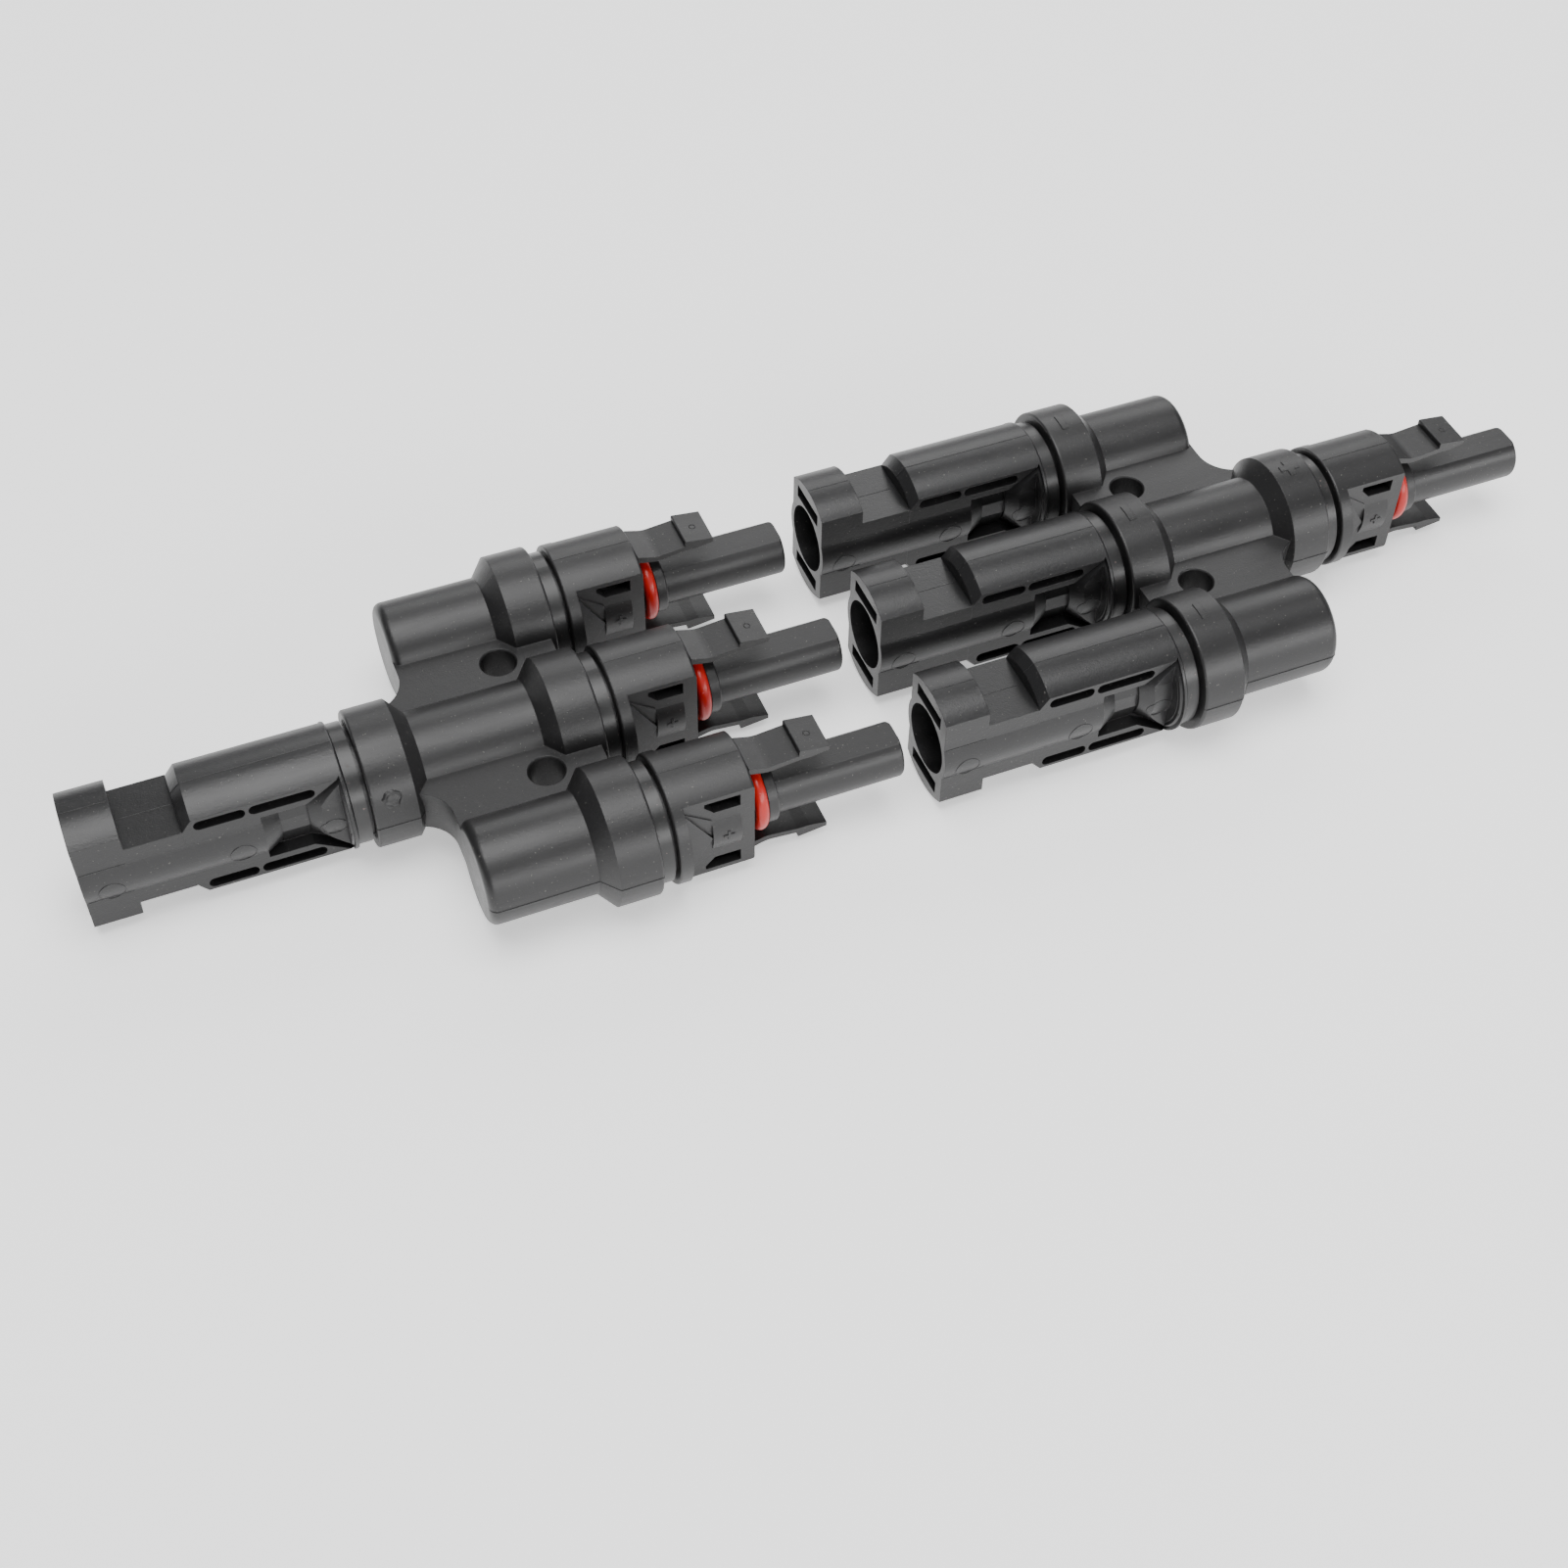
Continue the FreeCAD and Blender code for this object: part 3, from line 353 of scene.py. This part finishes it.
def bead_tree():
    """A tree that turns loose edges into beads of a given radius, with a material."""
    group = bpy.data.node_groups.new("bead_along_lines", "GeometryNodeTree")
    face = group.interface
    face.new_socket("Geometry", in_out="INPUT", socket_type="NodeSocketGeometry")
    face.new_socket("Bead radius", in_out="INPUT", socket_type="NodeSocketFloat")
    face.new_socket("Bead sides", in_out="INPUT", socket_type="NodeSocketInt")
    face.new_socket("Finish", in_out="INPUT", socket_type="NodeSocketMaterial")
    face.new_socket("Geometry", in_out="OUTPUT", socket_type="NodeSocketGeometry")
    tree = Tree(group)
    given = group.nodes.new("NodeGroupInput")
    lines, radius, sides, finish = (Value(tree, socket) for socket in given.outputs[:4])
    curve = tree.node("GeometryNodeMeshToCurve", {}, {"Mesh": lines})
    ring = tree.node("GeometryNodeCurvePrimitiveCircle", {}, {"Resolution": sides, "Radius": radius})
    swept = tree.node("GeometryNodeCurveToMesh", {}, {"Curve": curve, "Profile Curve": ring,
                                                      "Fill Caps": True})
    whole = tree.node("GeometryNodeRealizeInstances", {}, {"Geometry": swept})
    dressed = tree.node("GeometryNodeSetMaterial", {}, {"Geometry": whole, "Material": finish})
    tree.node("NodeGroupOutput", {}, {"Geometry": dressed})
    return group


def run_tree(name, source_mesh, group, values):
    """Run a geometry tree on a mesh once, and keep its result as a plain mesh object."""
    source = bpy.data.objects.new(name + "_source", source_mesh)
    bpy.context.scene.collection.objects.link(source)
    step = source.modifiers.new("tree", "NODES")
    step.node_group = group
    for item in group.interface.items_tree:
        if item.item_type == "SOCKET" and item.in_out == "INPUT" and item.name in values:
            step[item.identifier] = values[item.name]
    seen = source.evaluated_get(bpy.context.evaluated_depsgraph_get())
    mesh = bpy.data.meshes.new_from_object(seen)
    source.modifiers.remove(step)
    bpy.data.objects.remove(source)
    return settled(name, mesh)


def settled(name, mesh):
    """A finished piece: its faces turned outwards and its object at the origin."""
    work = bmesh.new()
    work.from_mesh(mesh)
    bmesh.ops.recalc_face_normals(work, faces=work.faces)
    work.to_mesh(mesh)
    work.free()
    mesh.name = name
    piece = bpy.data.objects.new(name, mesh)
    bpy.context.scene.collection.objects.link(piece)
    return piece


def dress(piece, body, slot):
    """Give a piece the finish of a slot, where it has none yet, and put it under its body."""
    if not piece.data.materials:
        piece.data.materials.append(FINISH_OF_SLOT[slot])
    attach(piece, body)


def edges_of(lines, name):
    """A mesh of loose edges along each line."""
    mesh = bpy.data.meshes.new(name)
    points = [point for line in lines for point in line]
    edges = []
    start = 0
    for line in lines:
        edges += [(start + i, start + i + 1) for i in range(len(line) - 1)]
        start += len(line)
    mesh.from_pydata(points, edges, [])
    return mesh


def beads(name, lines, radius, body, slot, group):
    values = {"Bead radius": radius, "Bead sides": BEAD_SIDES, "Finish": FINISH_OF_SLOT[slot]}
    dress(run_tree(name, edges_of(lines, name), group, values), body, slot)


# ---- lines that the moulds leave ----

def open_stretch(node, kind):
    """The stretch of a sleeve or a shell in front of its sealing ring, along X."""
    low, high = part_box(node)
    ring_low, ring_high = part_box(end_of(node, kind) + "seal_ring")
    if kind == "probe_housing":
        return ring_high[0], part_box(end_of(node, kind) + "latch_finger_top")[0][0]
    if ring_low[0] - low[0] > high[0] - ring_high[0]:
        return low[0], ring_low[0]
    return ring_high[0], high[0]


def parting_lines(node, kind):
    """Along the top and the underside of a housing, where its two mould halves met."""
    surface = surface_of(node)
    y, z = axis_of(node)
    first, last = open_stretch(node, kind)
    lines = []
    for way in (1, -1):
        starts = [(x, y, z + way) for x in stations(first + TRACE_STEP, last - TRACE_STEP)]
        lines += traced(surface, starts, (0, 0, -way))
    return lines


def ejector_circles(node):
    """The rings that ejector pins leave on both sides of a shell."""
    surface = surface_of(node)
    y, z = axis_of(node)
    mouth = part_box(node)[0][0]
    lines = []
    for side in (1, -1):
        for behind in EJECTOR_BEHIND_MOUTH:
            starts = [(mouth + behind + u, y + side, z - EJECTOR_DROP + v)
                      for u, v in circle(EJECTOR_R, EJECTOR_CORNERS)]
            lines += traced(surface, starts, (0, -side, 0))
    return lines


def block_creases(node):
    """The faint ridges along the sides of the mouth block."""
    surface = surface_of(node)
    y, z = axis_of(node)
    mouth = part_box(node)[0][0]
    lines = []
    for side in (1, -1):
        for height in (CREASE_HEIGHT, -CREASE_HEIGHT):
            starts = [(x, y + side, z + height) for x in stations(mouth + TRACE_STEP, mouth + CREASE_LENGTH)]
            lines += traced(surface, starts, (0, -side, 0))
    return lines


def barb_mark(finger):
    """The small ring on the outer face of a barb."""
    way = 1 if finger.endswith("top") else -1
    low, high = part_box(finger)
    x = high[0] - BARB_MARK_BEHIND_TIP
    y = (low[1] + high[1]) / 2
    starts = [(x + u, y + v, low[2] + way) for u, v in circle(BARB_MARK_R, BARB_MARK_CORNERS)]
    return traced(surface_of(finger), starts, (0, 0, -way))


def mould_lines():
    group = bead_tree()
    for half in ("a", "b"):
        body = "half_" + half
        shells = [n for n in nodes_named("shell_housing") if n.startswith(half)]
        probes = [n for n in nodes_named("probe_housing") if n.startswith(half)]
        shell_lines = [line for n in shells for line in parting_lines(n, "shell_housing")]
        probe_lines = [line for n in probes for line in parting_lines(n, "probe_housing")]
        circles = [line for n in shells for line in ejector_circles(n)]
        creases = [line for n in shells for line in block_creases(n)]
        beads(body + "_shell_parting_lines", shell_lines, PARTING_BEAD, body, "shell_plastic", group)
        beads(body + "_probe_parting_lines", probe_lines, PARTING_BEAD, body, "body_plastic", group)
        beads(body + "_ejector_rings", circles, EJECTOR_BEAD, body, "shell_plastic", group)
        beads(body + "_block_creases", creases, CREASE_BEAD, body, "shell_plastic", group)
    for finger in nodes_named("latch_finger_top") + nodes_named("latch_finger_bottom"):
        beads(finger + "_barb_mark", barb_mark(finger), EJECTOR_BEAD, finger, "body_plastic", group)


# ---- the raised plus on each pad ----

def plus_cells():
    """The corners of the small squares that make up a plus, about its middle."""
    across = [-PLUS_HALF_WIDTH, 0.0, PLUS_HALF_WIDTH]
    arm = [PLUS_HALF_WIDTH + (PLUS_REACH - PLUS_HALF_WIDTH) * i / PLUS_CELLS for i in range(PLUS_CELLS + 1)]
    along = [-u for u in reversed(arm)] + [0.0] + arm
    cells = [(u0, u1, v0, v1) for u0, u1 in zip(along, along[1:]) for v0, v1 in zip(across, across[1:])]
    upright = [(v0, v1, u0, u1) for u0, u1, v0, v1 in cells if abs(u0 + u1) > 2 * PLUS_HALF_WIDTH]
    return cells + upright


def raised_plus(node, side):
    """A plus moulded on one pad of a probe housing, following the pad's curve."""
    surface = surface_of(node)
    y, z = axis_of(node)
    face_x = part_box(end_of(node, "probe_housing") + "latch_finger_top")[0][0]
    work = bmesh.new()
    for u0, u1, v0, v1 in plus_cells():
        corners = []
        for u, v in ((u0, v0), (u1, v0), (u1, v1), (u0, v1)):
            point = landing(surface, (face_x - PAD_MIDDLE + u, y + side, z + v), (0, -side, 0))
            corners.append(work.verts.new(point + Vector((0, -side * PLUS_ROOT, 0))))
        work.faces.new(corners)
    bmesh.ops.remove_doubles(work, verts=work.verts, dist=SAME_CORNER)
    top = bmesh.ops.extrude_face_region(work, geom=list(work.faces))
    lifted = [item for item in top["geom"] if isinstance(item, bmesh.types.BMVert)]
    bmesh.ops.translate(work, vec=(0, side * (PLUS_ROOT + PLUS_PROUD), 0), verts=lifted)
    rim = [edge for edge in work.edges if edge.calc_face_angle(0.0) > PLUS_SHARP
           and all(vert in lifted for vert in edge.verts)]
    bmesh.ops.bevel(work, geom=rim, offset=PLUS_EDGE_ROUND, segments=2, profile=0.5, affect="EDGES")
    mesh = bpy.data.meshes.new("plus")
    work.to_mesh(mesh)
    work.free()
    name = end_of(node, "probe_housing") + ("back" if side > 0 else "front") + "_pad_plus"
    dress(settled(name, mesh), half_of(node), "body_plastic")


# ---- the torn gate mark on the single collar of half A ----

def gate_mark():
    """A ragged round scar with a raised lip, closed by a skirt inside the collar."""
    surface = surface_of("a_body_top")
    axis_y, axis_z = axis_of("a_trunk_shell_housing")
    middle_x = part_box("a_trunk_shell_housing")[0][0] + GATE_BEHIND_MOUTH
    look = Vector((0, math.cos(GATE_LIFT), -math.sin(GATE_LIFT)))
    round_way = Vector((0, math.sin(GATE_LIFT), math.cos(GATE_LIFT)))
    outside = Vector((middle_x, axis_y, axis_z)) - look * RAY_STANDOFF

    def corner(share, angle):
        """A place on the scar, at a share of its radius and an angle round its middle."""
        ragged = 1 + GATE_RAGGED * lumps.noise(Vector((2 * math.cos(angle), 2 * math.sin(angle), 0.3)))
        reach = GATE_R * ragged * share
        start = outside + Vector((reach * math.cos(angle), 0, 0)) + round_way * reach * math.sin(angle)
        rough = 0.5 + lumps.fractal(start * GATE_GRAIN, 0.8, 2.0, 3)
        lip = max(0.0, 1 - abs(share - GATE_LIP_PLACE) / GATE_LIP_REACH)
        height = GATE_PROUD * (GATE_MIDDLE_LIFT + GATE_LIP_LIFT * rough * lip) * (1 - share ** 6)
        return landing(surface, start, look) - look * (height - GATE_SINK * share)

    work = bmesh.new()
    centre = work.verts.new(corner(0.0, 0.0))
    angles = [2 * math.pi * spoke / GATE_SPOKES for spoke in range(GATE_SPOKES)]
    rings = [[work.verts.new(corner(ring / GATE_RINGS, angle)) for angle in angles]
             for ring in range(1, GATE_RINGS + 1)]
    rings.append([work.verts.new(vert.co + look * GATE_SKIRT) for vert in rings[-1]])
    neighbours = [(i, (i + 1) % GATE_SPOKES) for i in range(GATE_SPOKES)]
    for i, j in neighbours:
        work.faces.new((centre, rings[0][i], rings[0][j]))
    for inner, outer in zip(rings, rings[1:]):
        for i, j in neighbours:
            work.faces.new((inner[i], outer[i], outer[j], inner[j]))
    work.faces.new(rings[-1])
    for face in work.faces:
        face.smooth = True
    mesh = bpy.data.meshes.new("gate")
    work.to_mesh(mesh)
    work.free()
    dress(settled("a_trunk_collar_gate_mark", mesh), "half_a", "body_plastic")


# ---- louvred bands in the sockets ----

def louvre_tree():
    """A tree that sets bowed louvres round a circle in the YZ plane and hoops at both ends."""
    group = bpy.data.node_groups.new("louvred_band", "GeometryNodeTree")
    face = group.interface
    face.new_socket("Geometry", in_out="INPUT", socket_type="NodeSocketGeometry")
    for name in ("Radius", "Length", "Width", "Thickness", "Bow", "Hoop length"):
        face.new_socket(name, in_out="INPUT", socket_type="NodeSocketFloat")
    face.new_socket("Louvres", in_out="INPUT", socket_type="NodeSocketInt")
    face.new_socket("Finish", in_out="INPUT", socket_type="NodeSocketMaterial")
    face.new_socket("Geometry", in_out="OUTPUT", socket_type="NodeSocketGeometry")
    tree = Tree(group)
    given = group.nodes.new("NodeGroupInput")
    places, radius, length, width, thick, bow, hoop, louvres, finish = (
        Value(tree, socket) for socket in given.outputs[:9])
    # One louvre lies along Z and bows towards -X, and is set on a circle about Z.
    strip = tree.node("GeometryNodeCurvePrimitiveQuadrilateral", {}, {"Width": width, "Height": thick})
    half = length * 0.5
    ends = [tree.node("ShaderNodeCombineXYZ", {}, {"X": 0.0, "Z": half * way}) for way in (-1, 1)]
    waist = tree.node("ShaderNodeCombineXYZ", {}, {"X": bow * -2.0, "Z": 0.0})
    arc = tree.node("GeometryNodeCurveQuadraticBezier", {}, {
        "Resolution": LOUVRE_STEPS, "Start": ends[0], "Middle": waist, "End": ends[1]})
    louvre = tree.node("GeometryNodeCurveToMesh", {}, {"Curve": arc, "Profile Curve": strip,
                                                       "Fill Caps": True})
    circle = tree.node("GeometryNodeMeshCircle", {}, {"Vertices": louvres, "Radius": radius})
    index = tree.node("GeometryNodeInputIndex")
    turn = tree.node("ShaderNodeCombineXYZ", {}, {"Z": index * (2 * math.pi) / louvres})
    ring_of = tree.node("GeometryNodeInstanceOnPoints", {}, {"Points": circle, "Instance": louvre,
                                                             "Rotation": turn})
    parts = [ring_of]
    for way in (-1, 1):
        centre = tree.node("ShaderNodeCombineXYZ", {}, {"Z": (half - hoop * 0.5) * way})
        outline = tree.node("GeometryNodeCurvePrimitiveCircle", {}, {"Resolution": BAND_SIDES,
                                                                     "Radius": radius})
        section = tree.node("GeometryNodeCurvePrimitiveQuadrilateral", {}, {"Width": thick * BAND_THICKER,
                                                                            "Height": hoop})
        band = tree.node("GeometryNodeCurveToMesh", {}, {"Curve": outline, "Profile Curve": section})
        parts.append(tree.node("GeometryNodeTransform", {}, {"Geometry": band, "Translation": centre}))
    joined = tree.node("GeometryNodeJoinGeometry")
    for part in parts:
        tree.links.new(part.socket, joined.socket.node.inputs[0])
    copies = tree.node("GeometryNodeInstanceOnPoints", {}, {"Points": places, "Instance": joined,
                                                            "Rotation": (0.0, math.pi / 2, 0.0)})
    whole = tree.node("GeometryNodeRealizeInstances", {}, {"Geometry": copies})
    dressed = tree.node("GeometryNodeSetMaterial", {}, {"Geometry": whole, "Material": finish})
    tree.node("NodeGroupOutput", {}, {"Geometry": dressed})
    return group


def louvred_bands():
    """The bands of each half's sockets, in place of their plain CAD hoops."""
    group = louvre_tree()
    for half in ("a", "b"):
        nodes = [n for n in nodes_named("contact_spring") if n.startswith(half)]
        low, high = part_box(nodes[0])
        outer = (high[1] - low[1]) / 2
        centres = bpy.data.meshes.new("band_centres")
        centres.from_pydata([(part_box(n)[0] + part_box(n)[1]) / 2 for n in nodes], [], [])
        values = {"Radius": outer - LOUVRE_THICKNESS, "Length": high[0] - low[0], "Width": LOUVRE_WIDTH,
                  "Thickness": LOUVRE_THICKNESS, "Bow": LOUVRE_BOW, "Hoop length": BAND_END,
                  "Louvres": LOUVRES, "Finish": SPRING_STEEL}
        piece = run_tree("half_" + half + "_louvred_bands", centres, group, values)
        dress(piece, "half_" + half, "spring_steel")
        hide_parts(*nodes)


# ---- floor, lights and camera ----

def pale_floor():
    mesh = bpy.data.meshes.new("floor")
    corners = [(u * FLOOR_REACH, v * FLOOR_REACH, -FLOOR_DROP)
               for u, v in ((-1, -1), (1, -1), (1, 1), (-1, 1))]
    mesh.from_pydata(corners, [], [(0, 1, 2, 3)])
    floor = bpy.data.objects.new("floor", mesh)
    bpy.context.scene.collection.objects.link(floor)

    def paint(tree, place):
        cloud = noise(tree, place, 30.0, 2.0)
        return {"Base Color": between(tree, cloud, (0.90, 0.90, 0.90), (0.93, 0.93, 0.93))}

    mesh.materials.append(material("pale_paper", paint, **{
        "Roughness": 0.75, "Emission Color": (1.0, 1.0, 1.0, 1.0), "Emission Strength": 0.62}))


def softbox(name, place, aim, size, power):
    """A rectangular lamp at a place, turned to a point."""
    lamp = bpy.data.lights.new(name, "AREA")
    lamp.shape = "RECTANGLE"
    lamp.size = size[0]
    lamp.size_y = size[1]
    lamp.energy = power
    light = bpy.data.objects.new(name, lamp)
    light.location = place
    light.rotation_euler = (Vector(aim) - Vector(place)).to_track_quat("-Z", "Y").to_euler()
    bpy.context.scene.collection.objects.link(light)


def studio():
    world = bpy.data.worlds.new("studio")
    world.use_nodes = True
    sky = world.node_tree.nodes["Background"]
    sky.inputs["Color"].default_value = (0.95, 0.97, 1.0, 1.0)
    sky.inputs["Strength"].default_value = 0.22
    bpy.context.scene.world = world
    middle = (cad_low + cad_high) / 2
    softbox("overhead", (-0.05, -0.05, 1.0), middle, (0.8, 0.8), 12.0)
    softbox("back_window", (0.35, 0.75, 0.55), middle, (0.9, 0.5), 4.2)
    softbox("front_strip", (0.26, -0.8, 0.30), middle, (1.3, 0.28), 8.0)


def camera():
    lens = bpy.data.cameras.new("camera")
    lens.lens = CAMERA_LENS
    lens.sensor_width = CAMERA_SENSOR
    lens.clip_start = 0.01
    view = bpy.data.objects.new("camera", lens)
    view.location = CAMERA_PLACE
    view.rotation_euler = CAMERA_TURN
    bpy.context.scene.collection.objects.link(view)
    bpy.context.scene.camera = view


finish_cad_nodes()
mould_lines()
for housing in nodes_named("probe_housing"):
    for pad_side in (1, -1):
        raised_plus(housing, pad_side)
gate_mark()
louvred_bands()
pale_floor()
studio()
camera()
